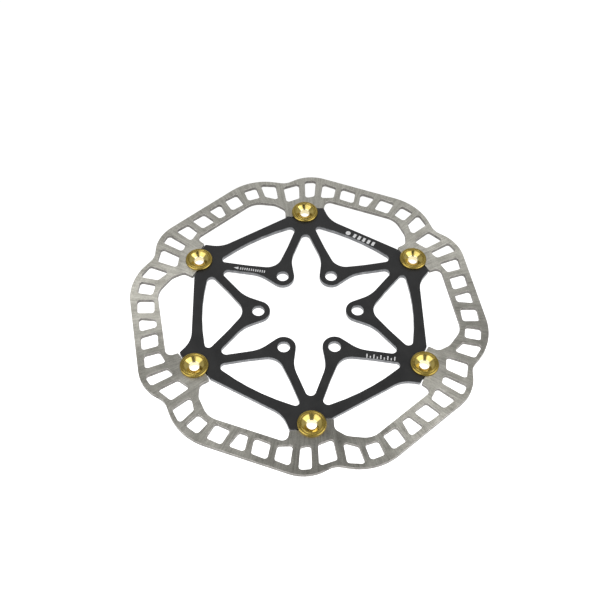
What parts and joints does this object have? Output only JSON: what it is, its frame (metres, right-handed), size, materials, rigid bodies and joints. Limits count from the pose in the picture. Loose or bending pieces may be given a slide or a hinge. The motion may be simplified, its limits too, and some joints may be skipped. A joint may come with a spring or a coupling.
{
  "type": "floating disc brake rotor",
  "caption": "Floating disc brake rotor for a bicycle: a slotted steel brake ring held round a spoked carrier by hollow bobbins.",
  "frame": {"origin": "on the rotor's axis, in the plane of the bobbins' swaged ends that it lies on", "axes": "+Z along the rotor's axis out of the front, marked face; +Y towards bobbin_1; the other bobbins follow counterclockwise seen from the front"},
  "size_m": [0.1584, 0.159, 0.005],
  "materials": {
    "brushed_stainless": "brushed stainless steel with fine straight lay lines",
    "black_anodised": "satin black faces with bare machined edges",
    "gold_anodised": "bright gold anodised, turned",
    "spring_steel": "plain rolled stainless strip"
  },
  "bodies": {
    "carrier": {"carrier": "black_anodised"},
    "ring": {"brake_ring": "brushed_stainless"},
    "bobbin_1": {"bobbin_1": "gold_anodised", "wave_washer_1": "spring_steel", "back_washer_1": "spring_steel"},
    "bobbin_2": {"bobbin_2": "gold_anodised", "wave_washer_2": "spring_steel", "back_washer_2": "spring_steel"},
    "bobbin_3": {"bobbin_3": "gold_anodised", "wave_washer_3": "spring_steel", "back_washer_3": "spring_steel"},
    "bobbin_4": {"bobbin_4": "gold_anodised", "wave_washer_4": "spring_steel", "back_washer_4": "spring_steel"},
    "bobbin_5": {"bobbin_5": "gold_anodised", "wave_washer_5": "spring_steel", "back_washer_5": "spring_steel"},
    "bobbin_6": {"bobbin_6": "gold_anodised", "wave_washer_6": "spring_steel", "back_washer_6": "spring_steel"}
  },
  "joints": [
    {"name": "ring_float", "type": "slide", "parent": "carrier", "child": "ring", "axis": [0, 0, 1], "range_m": [-0.0002, 0], "stiffness_N_per_m": 3000, "springref_m": 0.0003},
    {"name": "bobbin_1_turn", "type": "hinge", "parent": "carrier", "child": "bobbin_1", "pos_m": [0, 0.0568, 0.0029], "axis": [0, 0, 1], "continuous": true},
    {"name": "bobbin_2_turn", "type": "hinge", "parent": "carrier", "child": "bobbin_2", "pos_m": [-0.04919, 0.0284, 0.0029], "axis": [0, 0, 1], "continuous": true},
    {"name": "bobbin_3_turn", "type": "hinge", "parent": "carrier", "child": "bobbin_3", "pos_m": [-0.04919, -0.0284, 0.0029], "axis": [0, 0, 1], "continuous": true},
    {"name": "bobbin_4_turn", "type": "hinge", "parent": "carrier", "child": "bobbin_4", "pos_m": [0, -0.0568, 0.0029], "axis": [0, 0, 1], "continuous": true},
    {"name": "bobbin_5_turn", "type": "hinge", "parent": "carrier", "child": "bobbin_5", "pos_m": [0.04919, -0.0284, 0.0029], "axis": [0, 0, 1], "continuous": true},
    {"name": "bobbin_6_turn", "type": "hinge", "parent": "carrier", "child": "bobbin_6", "pos_m": [0.04919, 0.0284, 0.0029], "axis": [0, 0, 1], "continuous": true}
  ]
}
